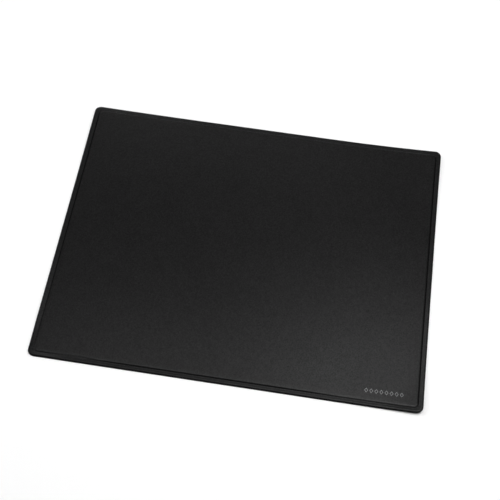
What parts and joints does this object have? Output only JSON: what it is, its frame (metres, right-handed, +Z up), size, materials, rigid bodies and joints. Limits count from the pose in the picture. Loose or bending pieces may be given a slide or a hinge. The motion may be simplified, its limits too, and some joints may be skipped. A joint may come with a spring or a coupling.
{
  "type": "desk mat",
  "caption": "Thin rectangular desk mat: a grained cover film welded round a foam filler on an anti-slip base, with a raised field, pressed seam and narrow rim.",
  "frame": {"origin": "middle of the underside, on the surface that the mat lies on", "axes": "+X to the user's right along the long side, +Y to the back, +Z up; the user's edge is at -Y"},
  "size_m": [0.63, 0.5, 0.0038],
  "materials": {
    "base_foam": "matte",
    "backing_film": "matte",
    "filler_foam": "matte",
    "cover_film": "satin",
    "mark_foil": "satin"
  },
  "bodies": {
    "root": {"anti_slip_base": "base_foam", "backing_film": "backing_film", "filler_pad": "filler_foam", "cover_sheet": "cover_film", "corner_mark": "mark_foil"}
  },
  "joints": []
}
